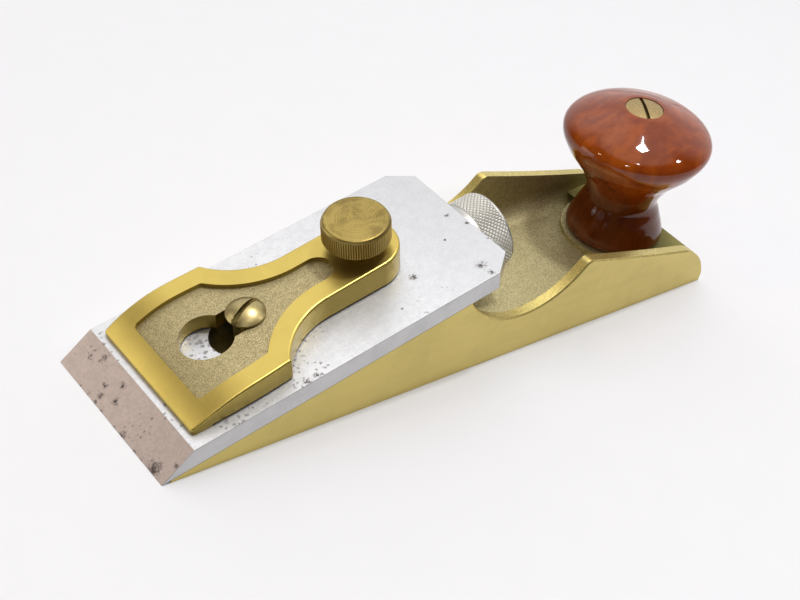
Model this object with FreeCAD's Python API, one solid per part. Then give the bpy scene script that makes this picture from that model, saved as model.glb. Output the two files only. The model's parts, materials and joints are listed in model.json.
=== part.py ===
import FreeCAD, Part
import math
import os

# Small bevel-up chisel plane, a low-angle block plane whose blade reaches the very front of the
# body. Millimetres. The origin is on the sole, halfway along the plane and on its centre line.
# +X points to the heel (the knob end), +Y to the left of someone pushing the plane, +Z up.
# "Bed frame" is the local frame of the blade: it starts at the cutting edge, u runs up the bed,
# v across the plane (the same way as +Y) and w squarely out of the bed.
# "Knob frame" starts at the middle of the knob's seat, with its third axis along the knob.

V = FreeCAD.Vector

# ---- overall sizes ----
LENGTH = 165.0            # cutting edge to heel
WIDTH = 41.3              # body and blade share one width, so the blade cuts into a corner
BED_ANGLE = 15.0          # bed above the sole, degrees

# ---- body casting ----
NOSE_SETBACK = 2.2        # the body stops this far behind the cutting edge
BED_LENGTH = 79.4         # cutting edge to the rear end of the bed, along the bed
WALL = 2.7                # side walls
FLOOR = 5.6               # top of the trough floor above the sole
FLOOR_FILLET = 5.0        # round between the floor and the walls
SCOOP_RADIUS = 23.3       # finger scoop in both side walls
SCOOP_LOW = 11.1          # lowest point of the scoop above the sole
SCOOP_CORNER = 21.0       # height of the wall where the scoop ends
SCOOP_EASE = 2.2          # round on that corner
HEEL_TOP = 12.2           # height of the wall where the heel starts to round over
HEEL_ROUND = 9.8          # length of that round
HEEL_BELLY = 2.4          # the heel is upright below this height
HEEL_SLOPE = 0.5          # fall of the heel where its round meets the wall
HEEL_BOW = 0.6            # the heel is bowed in plan by this much
RIM_SOFTENING = 0.35      # worn round on the outer edges

# ---- blade ----
BLADE_THICK = 4.76
BLADE_LENGTH = 92.4
BEVEL_ANGLE = 30.0
CORNER_CUT_U = 5.4        # clipped rear corners, along and across
CORNER_CUT_V = 4.3
BLADE_SLOT_HALF = 5.6     # slot for the cap screw
BLADE_SLOT_FRONT = 31.2   # centres of its two round ends, from the cutting edge
BLADE_SLOT_REAR = 52.0

# ---- lever cap ----
CAP_FRONT = 9.8           # front edge, from the cutting edge
CAP_MARGIN = 3.25         # the cap's front is this much narrower than the blade, each side
CAP_BULGE = 0.4           # its sides bow out by this much
CAP_SHOULDER = 34.0       # where the sides turn in towards the tail
CAP_WAIST = 49.8          # where the tail becomes parallel
CAP_TAIL_HALF = 8.3
CAP_TAIL_CENTRE = 64.8    # centre of its round end
CAP_CORNER = 1.0          # round of the two front corners in plan
CAP_LIP = 1.2             # height of the front lip above the blade
CAP_BROW = 25.0           # where the rounded front meets the flat top
CAP_BROW_HEIGHT = 5.25
CAP_BROW_BOW = 0.9        # the rounded front stands this far above its chord
CAP_TAIL_HEIGHT = 7.0     # top of the tail's end
CAP_SOFTENING = 0.6       # round on the upper outer edge
CAP_FOOT = 4.6            # length of the foot that presses on the blade
CAP_RELIEF = 0.5          # the underside behind the foot is this far off the blade
RECESS_BORDER = 4.7       # width of the polished rim round the recess
RECESS_DEPTH = 1.1
RECESS_END = 52.8         # centre of the recess's round end
RECESS_CORNER = 1.2       # round of its corners in plan
KEYHOLE_CENTRE = 24.6
KEYHOLE_RADIUS = 6.0
KEYHOLE_SLOT_HALF = 3.8

# ---- cap screw ----
CAP_SCREW_U = 34.4
CAP_SCREW_SHANK = 3.1     # radii
CAP_SCREW_HEAD = 4.35
CAP_SCREW_EDGE = 0.5      # straight edge under the dome
CAP_SCREW_DOME = 1.7
CAP_SCREW_DEPTH = 7.0     # length held in the bed
CAP_SCREW_SLOT = 0.9
CAP_SCREW_SLOT_TURN = 20.0    # degrees from the length of the blade
CAP_SCREW_SLOT_DEPTH = 1.2

# ---- thumbscrew ----
THUMB_U = 63.5
THUMB_SHANK = 3.1
THUMB_RADIUS = 7.65
THUMB_THICK = 5.6
THUMB_LIFT = 2.7          # clear height between the tail of the cap and the head
THUMB_EDGE = 0.5

# ---- blade adjuster ----
AXIS_DROP = 5.46          # the adjuster's axis below the bed
STUD_RADIUS = 2.4
STUD_HELD = 10.0          # length screwed into the bed block
STUD_END_GAP = 3.2        # the stud stops this far inside the wheel's rear face
FLANGE_RADIUS = 7.9
FLANGE_THICK = 2.5
FLANGE_BEHIND_BED = 5.6   # front face of the flange behind the bed block
NECK_RADIUS = 4.5
WHEEL_GAP = 0.6           # the wheel's front face behind the end of the blade
WHEEL_RADIUS = 9.5
WHEEL_THICK = 8.7
WHEEL_EDGE = 0.6
GROOVE_PLAY = 0.1         # between the flange and each side of the pocket under the blade
GROOVE_ROOF = 0.45        # above the flange
GROOVE_END_PLAY = 1.2     # beyond the flange at each end of the pocket

# ---- knob ----
KNOB_INSET = 16.3         # centre of the knob's seat ahead of the heel
KNOB_SEAT = 8.1           # height of that centre above the sole
KNOB_LEAN = 5.7           # the knob leans forward, degrees
KNOB_BASE = 12.7          # radii of the knob
KNOB_WAIST = 9.3
KNOB_HEAD = 18.8
KNOB_HEIGHT = 37.2
KNOB_WAIST_AT = 11.8      # heights of the waist and of the widest place of the head
KNOB_HEAD_AT = 29.3
KNOB_FOOT_ROUND = 0.6     # the foot is rounded in by this much
KNOB_CROWN = 0.5          # rise of the crown over the nut
SEAT_BORDER = 1.1         # the round platform is this much larger than the knob's base
KNOB_STUD = 2.6
KNOB_STUD_HELD = 5.6
KNOB_NUT = 4.7
KNOB_NUT_LENGTH = 9.0
KNOB_STUD_ENTERS = 4.0    # length of stud inside the nut
KNOB_NUT_SLOT = 1.0
KNOB_NUT_SLOT_TURN = 57.0     # degrees from the length of the plane
KNOB_NUT_SLOT_DEPTH = 1.3
KNOB_NUT_DOME = 0.5

SLIP = 0.05               # clearance between a shank and its hole

# ---- places worked out from the sizes ----
EDGE_X = -LENGTH / 2
HEEL_X = LENGTH / 2
COS_BED = math.cos(math.radians(BED_ANGLE))
SIN_BED = math.sin(math.radians(BED_ANGLE))
BED = FreeCAD.Placement(V(EDGE_X, 0, 0), FreeCAD.Rotation(V(0, 1, 0), -BED_ANGLE))
KNOB = FreeCAD.Placement(V(HEEL_X - KNOB_INSET, 0, KNOB_SEAT),
                         FreeCAD.Rotation(V(0, 1, 0), -KNOB_LEAN))
FLANGE_U = BED_LENGTH + FLANGE_BEHIND_BED
WHEEL_U = BLADE_LENGTH + WHEEL_GAP
WHEEL_END_U = WHEEL_U + WHEEL_THICK
CAP_HALF = WIDTH / 2 - CAP_MARGIN
CAP_SLOPE = (CAP_TAIL_HEIGHT - CAP_BROW_HEIGHT) / (CAP_TAIL_CENTRE + CAP_TAIL_HALF - CAP_BROW)
FAR = 200.0               # larger than anything here, for cutting tools


# ---- helpers ----
def prism(edges, direction):
    """Solid swept from a closed outline of edges."""
    return Part.Face(Part.Wire(edges)).extrude(direction)


def line(a, b):
    return Part.LineSegment(a, b).toShape()


def arc(a, b, c):
    return Part.Arc(a, b, c).toShape()


def rod(radius, start, end, centre=V(0, 0, 0), axis=V(0, 0, 1)):
    """Cylinder along an axis through a point, from one distance to another."""
    return Part.makeCylinder(radius, end - start, centre + axis * start, axis)


def turned(edges, centre, axis):
    """Solid of revolution from an outline that closes on its axis."""
    return Part.Face(Part.Wire(edges)).revolve(centre, axis, 360)


def long_hole(half, start, end, low, high):
    """Slot with round ends, in the bed frame."""
    hole = rod(half, low, high, V(start, 0, 0)).fuse(rod(half, low, high, V(end, 0, 0)))
    return hole.fuse(Part.makeBox(end - start, 2 * half, high - low, V(start, -half, low)))


def round_edges(shape):
    """The full circles of a shape."""
    return [edge for edge in shape.Edges if len(edge.Vertexes) == 1]


def cap_top(u):
    """Height of the flat top of the lever cap above the blade."""
    return CAP_BROW_HEIGHT + CAP_SLOPE * (u - CAP_BROW)


def placed(shape, placement):
    shape.Placement = placement
    return shape


# ---- body ----
def body_outline():
    """Side view of the casting, in the XZ plane."""
    nose = EDGE_X + NOSE_SETBACK
    nose_top = V(nose, 0, NOSE_SETBACK * SIN_BED / COS_BED)
    bed_end = V(EDGE_X + BED_LENGTH * COS_BED, 0, BED_LENGTH * SIN_BED)
    centre_z = SCOOP_LOW + SCOOP_RADIUS
    centre_x = bed_end.x + math.sqrt(SCOOP_RADIUS ** 2 - (centre_z - bed_end.z) ** 2)
    scoop_end = V(centre_x + math.sqrt(SCOOP_RADIUS ** 2 - (centre_z - SCOOP_CORNER) ** 2),
                  0, SCOOP_CORNER)
    heel_start = V(HEEL_X - HEEL_ROUND, 0, HEEL_TOP)
    wall_mid = (scoop_end + heel_start) * 0.5 - V(0, 0, 0.25)
    wall_slope = (SCOOP_CORNER - HEEL_TOP) / (heel_start.x - scoop_end.x)
    back = V(HEEL_X + 1, 0, HEEL_TOP - wall_slope * (HEEL_ROUND + 1))
    sole_end = V(back.x, 0, 0)
    return [line(V(nose, 0, 0), nose_top), line(nose_top, bed_end),
            arc(bed_end, V(centre_x, 0, SCOOP_LOW), scoop_end),
            arc(scoop_end, wall_mid, heel_start), line(heel_start, back),
            line(back, sole_end), line(sole_end, V(nose, 0, 0))]


def bowed_heel():
    """Round disc that trims the casting: its rim is the bowed heel with its top rounded over."""
    half = WIDTH / 2
    axis = HEEL_X - (half ** 2 + HEEL_BOW ** 2) / (2 * HEEL_BOW)
    belly = V(HEEL_X, 0, HEEL_BELLY)
    shoulder = V(HEEL_X - 0.31 * HEEL_ROUND, 0, HEEL_BELLY + 0.53 * (HEEL_TOP - HEEL_BELLY))
    heel_start = V(HEEL_X - HEEL_ROUND, 0, HEEL_TOP)
    crest = V(EDGE_X, 0, HEEL_TOP + HEEL_SLOPE * (heel_start.x - EDGE_X))
    edges = [line(V(axis, 0, 0), V(HEEL_X, 0, 0)), line(V(HEEL_X, 0, 0), belly),
             arc(belly, shoulder, heel_start), line(heel_start, crest),
             line(crest, V(axis, 0, crest.z)), line(V(axis, 0, crest.z), V(axis, 0, 0))]
    return turned(edges, V(axis, 0, 0), V(0, 0, 1))


def seat_platform():
    """Raised platform under the knob, carried on to the heel, in the knob frame."""
    disc = rod(KNOB_BASE + SEAT_BORDER, FLOOR - KNOB_SEAT - 1.0, 0)
    back = Part.makeBox(FAR, WIDTH, KNOB_SEAT - FLOOR + 3.0,
                        V(0, -WIDTH / 2, FLOOR - KNOB_SEAT - 3.0))
    return placed(disc.fuse(back), KNOB)


def trough():
    """Hollow between the walls, from the bed block to the heel."""
    half = WIDTH / 2 - WALL
    lean = SIN_BED / COS_BED
    bed_end = V(EDGE_X + BED_LENGTH * COS_BED, 0, BED_LENGTH * SIN_BED)
    low_front = V(bed_end.x + (bed_end.z - FLOOR) * lean, -half, FLOOR)
    high_front = V(bed_end.x - bed_end.z * lean, -half, 2 * bed_end.z)
    low_back = V(HEEL_X + FAR, -half, FLOOR)
    high_back = V(HEEL_X + FAR, -half, 2 * bed_end.z)
    outline = [low_front, low_back, high_back, high_front, low_front]
    hollow = prism([line(a, b) for a, b in zip(outline, outline[1:])], V(0, 2 * half, 0))
    floor_edges = []
    block_edges = []
    for edge in hollow.Edges:
        box = edge.BoundBox
        if box.ZMax < FLOOR + 0.01 and box.XLength > 1:
            floor_edges.append(edge)
        elif box.YLength < 0.01 and box.XMax < low_front.x + 0.01:
            block_edges.append(edge)
    hollow = hollow.makeFillet(FLOOR_FILLET, floor_edges + block_edges)
    return hollow.cut(seat_platform())


def adjuster_axis(start, end, radius):
    """Cylinder on the adjuster's axis, in the bed frame."""
    return rod(radius, start, end, V(0, 0, -AXIS_DROP), V(1, 0, 0))


def rim_edges(body, from_middle):
    """Edges of the wall tops and scoops that lie at one distance from the centre plane."""
    return [edge for edge in body.Edges
            if abs(abs(edge.BoundBox.YMin) - from_middle) < 0.01 and edge.BoundBox.YLength < 0.01
            and edge.BoundBox.ZMin > SCOOP_LOW - 2.0 and edge.BoundBox.ZMax > HEEL_TOP - 0.01
            and edge.BoundBox.XLength > 0.3]


def make_body():
    body = prism(body_outline(), V(0, WIDTH, 0))
    body.translate(V(0, -WIDTH / 2, 0))
    corner = [edge for edge in body.Edges if edge.BoundBox.YLength > WIDTH - 0.01
              and abs(edge.BoundBox.ZMax - SCOOP_CORNER) < 0.01]
    body = body.makeFillet(SCOOP_EASE, corner)
    body = body.makeChamfer(RIM_SOFTENING, rim_edges(body, WIDTH / 2))
    body = body.common(bowed_heel()).cut(trough())
    screw_hole = rod(CAP_SCREW_SHANK + SLIP, -CAP_SCREW_DEPTH - 0.5, 1.0, V(CAP_SCREW_U, 0, 0))
    stud_hole = adjuster_axis(BED_LENGTH - STUD_HELD - 0.5, BED_LENGTH + 1, STUD_RADIUS + SLIP)
    knob_hole = rod(KNOB_STUD + SLIP, -KNOB_STUD_HELD - 0.3, 1.0)
    body = body.cut(placed(screw_hole, BED)).cut(placed(stud_hole, BED))
    return body.cut(placed(knob_hole, KNOB)).removeSplitter()


# ---- blade ----
def make_blade():
    half = WIDTH / 2
    bevel = BLADE_THICK / math.tan(math.radians(BEVEL_ANGLE))
    side = [V(0, 0, 0), V(bevel, 0, BLADE_THICK), V(BLADE_LENGTH, 0, BLADE_THICK),
            V(BLADE_LENGTH, 0, 0), V(0, 0, 0)]
    blade = prism([line(a, b) for a, b in zip(side, side[1:])], V(0, WIDTH, 0))
    blade.translate(V(0, -half, 0))
    for sign in (-1, 1):
        clip = [V(BLADE_LENGTH - CORNER_CUT_U, sign * half, -1),
                V(BLADE_LENGTH, sign * (half - CORNER_CUT_V), -1),
                V(BLADE_LENGTH + 10, sign * (half - CORNER_CUT_V), -1),
                V(BLADE_LENGTH + 10, sign * (half + 10), -1),
                V(BLADE_LENGTH - CORNER_CUT_U, sign * (half + 10), -1)]
        clip.append(clip[0])
        blade = blade.cut(prism([line(a, b) for a, b in zip(clip, clip[1:])],
                                V(0, 0, BLADE_THICK + 2)))
    blade = blade.cut(long_hole(BLADE_SLOT_HALF, BLADE_SLOT_FRONT, BLADE_SLOT_REAR,
                                -1, BLADE_THICK + 1))
    groove_half = math.sqrt(FLANGE_RADIUS ** 2 - AXIS_DROP ** 2) + GROOVE_END_PLAY
    groove = Part.makeBox(FLANGE_THICK + 2 * GROOVE_PLAY, 2 * groove_half,
                          FLANGE_RADIUS - AXIS_DROP + GROOVE_ROOF + 1,
                          V(FLANGE_U - GROOVE_PLAY, -groove_half, -1))
    return placed(blade.cut(groove), BED)


# ---- lever cap ----
def cap_plan(inset, tail_centre):
    """Outline of the cap in plan, or the same outline drawn inwards, as a prism."""
    front = CAP_FRONT + inset
    half = CAP_HALF - inset
    tail = CAP_TAIL_HALF - inset
    hollow_radius = ((CAP_WAIST - CAP_SHOULDER) ** 2 + (CAP_HALF - CAP_TAIL_HALF) ** 2) \
        / (2 * (CAP_HALF - CAP_TAIL_HALF))
    radius = hollow_radius + inset
    centre_v = CAP_TAIL_HALF + hollow_radius
    shoulder = CAP_WAIST - math.sqrt(radius ** 2 - (centre_v - half) ** 2)
    turn = math.radians(25)
    edges = []
    for sign in (-1, 1):
        corner = V(shoulder, sign * half, 0)
        waist = V(CAP_WAIST, sign * tail, 0)
        bulge = V((front + shoulder) / 2, sign * (half + CAP_BULGE), 0)
        sweep = V(CAP_WAIST - radius * math.sin(turn),
                  sign * (centre_v - radius * math.cos(turn)), 0)
        edges.append(arc(V(front, sign * half, 0), bulge, corner))
        edges.append(arc(corner, sweep, waist))
        edges.append(line(waist, V(tail_centre, sign * tail, 0)))
    edges.append(arc(V(tail_centre, -tail, 0), V(tail_centre + tail, 0, 0), V(tail_centre, tail, 0)))
    edges.append(line(V(front, -half, 0), V(front, half, 0)))
    block = prism(Part.__sortEdges__(edges), V(0, 0, 20))
    corners = [edge for edge in block.Edges if edge.BoundBox.ZLength > 1
               and edge.CenterOfMass.x < front + 0.01]
    if inset > 0:
        corners += [edge for edge in block.Edges if edge.BoundBox.ZLength > 1
                    and abs(edge.CenterOfMass.x - shoulder) < 0.01]
    return block.makeFillet(RECESS_CORNER if inset > 0 else CAP_CORNER, corners)


def cap_side(drop):
    """Side view of the cap as a prism across it, with the top lowered by a drop."""
    end = CAP_TAIL_CENTRE + CAP_TAIL_HALF + 1
    foot = V(CAP_FRONT - 1, 0, -drop)
    lip = V(CAP_FRONT, 0, CAP_LIP - drop)
    brow = V(CAP_BROW, 0, CAP_BROW_HEIGHT - drop)
    nose = V((CAP_FRONT + CAP_BROW) / 2, 0, (CAP_LIP + CAP_BROW_HEIGHT) / 2 + CAP_BROW_BOW - drop)
    lip_front = V(CAP_FRONT - 1, 0, CAP_LIP - drop)
    tail = V(end, 0, cap_top(end) - drop)
    edges = [line(foot, lip_front), line(lip_front, lip), arc(lip, nose, brow), line(brow, tail),
             line(tail, V(end, 0, -drop)), line(V(end, 0, -drop), foot)]
    solid = prism(edges, V(0, WIDTH, 0))
    solid.translate(V(0, -WIDTH / 2, 0))
    return solid


def make_lever_cap():
    cap = cap_plan(0, CAP_TAIL_CENTRE).common(cap_side(0)).removeSplitter()
    rim = [edge for edge in cap.Edges if edge.BoundBox.ZMax > CAP_LIP + 0.01
           and edge.BoundBox.XLength > 0.01 and edge.BoundBox.ZMin > CAP_LIP - 0.5]
    cap = cap.makeFillet(CAP_SOFTENING, rim)
    recess = cap_plan(RECESS_BORDER, RECESS_END).cut(cap_side(RECESS_DEPTH))
    cap = cap.cut(recess)
    keyhole = rod(KEYHOLE_RADIUS, -1, 20, V(KEYHOLE_CENTRE, 0, 0))
    slot = long_hole(KEYHOLE_SLOT_HALF, KEYHOLE_CENTRE, CAP_SCREW_U, -1, 20)
    relief = Part.makeBox(FAR, WIDTH, CAP_RELIEF, V(CAP_FRONT + CAP_FOOT, -WIDTH / 2, 0))
    thread = rod(THUMB_SHANK + SLIP, -1, 20, V(THUMB_U, 0, 0))
    cap = cap.cut(keyhole.fuse(slot)).cut(relief).cut(thread).removeSplitter()
    cap.translate(V(0, 0, BLADE_THICK))
    return placed_in_bed(cap)


def placed_in_bed(shape):
    """Moves a shape from the bed frame into the plane's frame."""
    return shape.transformed(BED.toMatrix())


# ---- screws ----
def make_cap_screw():
    centre = V(CAP_SCREW_U, 0, 0)
    seat = BLADE_THICK + cap_top(CAP_SCREW_U + CAP_SCREW_HEAD) - RECESS_DEPTH + SLIP
    edge = seat + CAP_SCREW_EDGE
    top = edge + CAP_SCREW_DOME
    foot = -CAP_SCREW_DEPTH
    a = centre + V(0, 0, foot)
    b = centre + V(CAP_SCREW_SHANK, 0, foot)
    c = centre + V(CAP_SCREW_SHANK, 0, seat)
    d = centre + V(CAP_SCREW_HEAD, 0, seat)
    e = centre + V(CAP_SCREW_HEAD, 0, edge)
    f = centre + V(0.62 * CAP_SCREW_HEAD, 0, edge + 0.62 * CAP_SCREW_DOME)
    g = centre + V(0, 0, top)
    screw = turned([line(a, b), line(b, c), line(c, d), line(d, e), arc(e, f, g), line(g, a)],
                   centre, V(0, 0, 1))
    slot = Part.makeBox(4 * CAP_SCREW_HEAD, CAP_SCREW_SLOT, 10,
                        V(-2 * CAP_SCREW_HEAD, -CAP_SCREW_SLOT / 2, top - CAP_SCREW_SLOT_DEPTH))
    slot.rotate(V(0, 0, 0), V(0, 0, 1), CAP_SCREW_SLOT_TURN)
    slot.translate(centre)
    return placed_in_bed(screw.cut(slot))


def make_thumbscrew():
    centre = V(THUMB_U, 0, 0)
    under = BLADE_THICK + cap_top(THUMB_U) + THUMB_LIFT
    top = under + THUMB_THICK
    shank = rod(THUMB_SHANK, BLADE_THICK, under + 1, centre)
    head = rod(THUMB_RADIUS, under, top, centre)
    head = head.makeChamfer(THUMB_EDGE, round_edges(head))
    return placed_in_bed(head.fuse(shank).removeSplitter())


# ---- blade adjuster ----
def make_adjuster_stud():
    end = WHEEL_END_U - STUD_END_GAP
    stud = adjuster_axis(BED_LENGTH - STUD_HELD, end, STUD_RADIUS)
    return placed_in_bed(stud)


def make_adjuster_wheel():
    flange = adjuster_axis(FLANGE_U, FLANGE_U + FLANGE_THICK, FLANGE_RADIUS)
    neck = adjuster_axis(FLANGE_U, WHEEL_U + 1, NECK_RADIUS)
    rim = adjuster_axis(WHEEL_U, WHEEL_END_U, WHEEL_RADIUS)
    rim = rim.makeChamfer(WHEEL_EDGE, round_edges(rim))
    wheel = flange.fuse(neck).fuse(rim)
    bore = adjuster_axis(FLANGE_U - 1, WHEEL_END_U + 1, STUD_RADIUS + SLIP)
    return placed_in_bed(wheel.cut(bore).removeSplitter())


# ---- knob ----
def make_knob():
    """Mushroom-shaped turned knob with a bore for its stud and nut."""
    foot = V(KNOB_BASE - KNOB_FOOT_ROUND, 0, 0)
    top = V(0, 0, KNOB_HEIGHT)
    side = [V(KNOB_BASE, 0, 2 * KNOB_FOOT_ROUND), V(KNOB_BASE - 0.6, 0, 3.6),
            V(KNOB_WAIST + 1.2, 0, KNOB_WAIST_AT - 4.0), V(KNOB_WAIST, 0, KNOB_WAIST_AT),
            V(KNOB_WAIST + 2.5, 0, KNOB_WAIST_AT + 6.0), V(KNOB_HEAD - 4.0, 0, KNOB_HEAD_AT - 7.6),
            V(KNOB_HEAD - 1.6, 0, KNOB_HEAD_AT - 4.3), V(KNOB_HEAD, 0, KNOB_HEAD_AT),
            V(KNOB_HEAD - 2.2, 0, KNOB_HEIGHT - 5.0), V(KNOB_HEAD - 8.4, 0, KNOB_HEIGHT - 2.0),
            V(KNOB_NUT + 1.5, 0, KNOB_HEIGHT - KNOB_CROWN)]
    curve = Part.BSplineCurve()
    curve.interpolate(side)
    crown = arc(side[-1], V(KNOB_NUT / 2, 0, KNOB_HEIGHT - KNOB_CROWN / 6), top)
    edges = [line(V(0, 0, 0), foot), line(foot, side[0]), curve.toShape(), crown,
             line(top, V(0, 0, 0))]
    knob = turned(edges, V(0, 0, 0), V(0, 0, 1))
    bore = rod(KNOB_STUD + SLIP, -1, KNOB_HEIGHT)
    counterbore = rod(KNOB_NUT + SLIP, KNOB_HEIGHT - KNOB_NUT_LENGTH - SLIP, KNOB_HEIGHT + 1)
    return placed_on_seat(knob.cut(bore).cut(counterbore))


def placed_on_seat(shape):
    """Moves a shape from the knob frame into the plane's frame."""
    return shape.transformed(KNOB.toMatrix())


def make_knob_stud():
    end = KNOB_HEIGHT - KNOB_NUT_LENGTH + KNOB_STUD_ENTERS
    return placed_on_seat(rod(KNOB_STUD, -KNOB_STUD_HELD, end))


def make_knob_nut():
    low = KNOB_HEIGHT - KNOB_NUT_LENGTH
    edge = KNOB_HEIGHT - KNOB_CROWN
    top = edge + KNOB_NUT_DOME
    a = V(0, 0, low)
    b = V(KNOB_NUT, 0, low)
    c = V(KNOB_NUT, 0, edge)
    d = V(0.6 * KNOB_NUT, 0, edge + 0.62 * KNOB_NUT_DOME)
    e = V(0, 0, top)
    nut = turned([line(a, b), line(b, c), arc(c, d, e), line(e, a)], V(0, 0, 0), V(0, 0, 1))
    slot = Part.makeBox(4 * KNOB_NUT, KNOB_NUT_SLOT, 5,
                        V(-2 * KNOB_NUT, -KNOB_NUT_SLOT / 2, top - KNOB_NUT_SLOT_DEPTH))
    slot.rotate(V(0, 0, 0), V(0, 0, 1), KNOB_NUT_SLOT_TURN)
    bore = rod(KNOB_STUD + SLIP, low - 1, low + KNOB_STUD_ENTERS + 1)
    return placed_on_seat(nut.cut(slot).cut(bore))


def main():
    os.makedirs("parts", exist_ok=True)
    pieces = {
        "body": make_body(),
        "blade": make_blade(),
        "lever_cap": make_lever_cap(),
        "lever_cap_screw": make_cap_screw(),
        "lever_cap_thumbscrew": make_thumbscrew(),
        "adjuster_stud": make_adjuster_stud(),
        "adjuster_wheel": make_adjuster_wheel(),
        "knob": make_knob(),
        "knob_stud": make_knob_stud(),
        "knob_nut": make_knob_nut(),
    }
    for name, shape in pieces.items():
        print(name, "valid", shape.isValid(), "solids", len(shape.Solids),
              "volume", round(shape.Volume, 1))
        shape.exportStep("parts/" + name + ".step")


main()
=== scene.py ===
import json
import math

import bmesh
import bpy
from bpy.props import FloatProperty, FloatVectorProperty, IntProperty, PointerProperty
from mathutils import Matrix, Vector
from mathutils.geometry import interpolate_bezier


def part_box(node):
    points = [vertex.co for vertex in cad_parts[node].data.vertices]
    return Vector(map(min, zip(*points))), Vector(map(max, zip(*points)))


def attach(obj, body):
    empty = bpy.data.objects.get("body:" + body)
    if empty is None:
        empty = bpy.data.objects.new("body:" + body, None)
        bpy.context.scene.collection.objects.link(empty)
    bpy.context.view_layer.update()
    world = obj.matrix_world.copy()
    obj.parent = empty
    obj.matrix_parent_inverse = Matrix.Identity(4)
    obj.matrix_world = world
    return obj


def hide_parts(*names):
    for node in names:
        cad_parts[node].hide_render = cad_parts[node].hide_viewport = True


bl_info = {
    "name": "Bevel-up Chisel Plane",
    "version": (1, 0, 0),
    "blender": (4, 5, 0),
    "location": "View3D > Sidebar > Plane",
    "description": "Builds the looks of a small bevel-up chisel plane round its CAD frame",
    "category": "Object",
}

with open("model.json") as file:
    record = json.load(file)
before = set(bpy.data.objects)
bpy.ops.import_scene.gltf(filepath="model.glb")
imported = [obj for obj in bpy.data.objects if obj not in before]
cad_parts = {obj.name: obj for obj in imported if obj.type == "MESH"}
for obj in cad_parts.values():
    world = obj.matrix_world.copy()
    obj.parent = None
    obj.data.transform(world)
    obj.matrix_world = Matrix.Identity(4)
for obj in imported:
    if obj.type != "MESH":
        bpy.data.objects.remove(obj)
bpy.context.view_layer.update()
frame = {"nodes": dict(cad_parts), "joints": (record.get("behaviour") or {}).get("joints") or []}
MM = 0.001

# The bed frame starts at the cutting edge: its axes run up the bed, across, and out of the bed.
JOINTS = {j["name"]: j for j in frame["joints"]}
UP_BED = Vector(JOINTS["lever_cap_slide"]["axis"])
OUT_OF_BED = Vector(JOINTS["thumbscrew_turn"]["axis"])
ACROSS = Vector((0, 1, 0))
CUTTING_EDGE = Vector((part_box("blade")[0][0], 0, 0))


def frame_matrix(origin, first, third):
    """Matrix that carries a local frame to the plane's frame."""
    second = third.cross(first)
    turn = Matrix((first, second, third)).transposed().to_4x4()
    return Matrix.Translation(origin) @ turn


BED = frame_matrix(CUTTING_EDGE, UP_BED, OUT_OF_BED)
THUMB = frame_matrix(Vector(JOINTS["thumbscrew_turn"]["pos_m"]), UP_BED, OUT_OF_BED)
SCREW = frame_matrix(Vector(JOINTS["cap_screw_turn"]["pos_m"]), UP_BED, OUT_OF_BED)
ADJUSTER = frame_matrix(Vector(JOINTS["adjuster_spin"]["pos_m"]), OUT_OF_BED, UP_BED)


def local_points(node, matrix):
    """A CAD node's vertices in a local frame."""
    inverse = matrix.inverted()
    return [inverse @ v.co for v in frame["nodes"][node].data.vertices]


def local_box(node, matrix):
    """Lowest and highest corner of a CAD node in a local frame."""
    points = local_points(node, matrix)
    return [Vector([pick(p[i] for p in points) for i in range(3)]) for pick in (min, max)]


def middle(points):
    return sum(points, Vector()) / len(points)


STUD_HELD = 5.6 * MM      # length of the knob's stud below the knob's seat


def knob_frame():
    """Frame at the middle of the knob's seat, with its third axis along the knob's stud."""
    points = [v.co for v in frame["nodes"]["knob_stud"].data.vertices]
    height = middle(points).z
    foot = middle([p for p in points if p.z < height])
    up = (middle([p for p in points if p.z > height]) - foot).normalized()
    return frame_matrix(foot + STUD_HELD * up, ACROSS.cross(up), up)


KNOB = knob_frame()

# The knob's outline in its own frame, in millimetres: height above its seat, and radius.
KNOB_PROFILE = ((0.6, 12.45), (1.4, 12.7), (3.6, 12.1), (7.8, 10.5), (11.8, 9.3), (17.8, 11.8),
                (21.7, 14.8), (25.0, 17.2), (29.3, 18.8), (32.2, 16.6), (35.2, 10.4),
                (36.65, 6.2), (36.85, 4.8))
KNOB_FOOT = 11.85         # radius of the knob's seat, in millimetres
NUT_SINK = 1.2 * MM       # depth of the nut's seat in the crown of the knob

WALL = 2.7 * MM           # thickness of the body's side walls
SOLE = 5.0 * MM           # height above which the trough's own faces lie
STUD_IN_BODY = 6.0 * MM   # length of the adjuster's stud inside the body
RIM_END = 6.0 * MM        # the polished rim, painted lighter as a highlight, ends this far ahead of the knob's axis
BEVEL_ANGLE = 30          # the blade's bevel, in degrees from its flat side
RECESS_FALL = 0.6 * MM    # a face this far under the lever cap's outline is its recess
NEAR = 0.05 * MM          # points this close to a size count as on it

SLOT_TURN = math.radians(20.0)        # the cap screw's slot, from the length of the bed
NUT_SLOT_TURN = math.radians(57.0)    # the slot in the knob's nut, from the same line


# ---- sizes and colours that a user may change ----

def length(name, value, text):
    return FloatProperty(name=name, description=text, default=value, unit="LENGTH", precision=5)


def count(name, value, least, text):
    return IntProperty(name=name, description=text, default=value, min=least)


def colour(name, value, text):
    return FloatVectorProperty(name=name, description=text, default=value, subtype="COLOR",
                               size=3, min=0, max=1)


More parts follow.
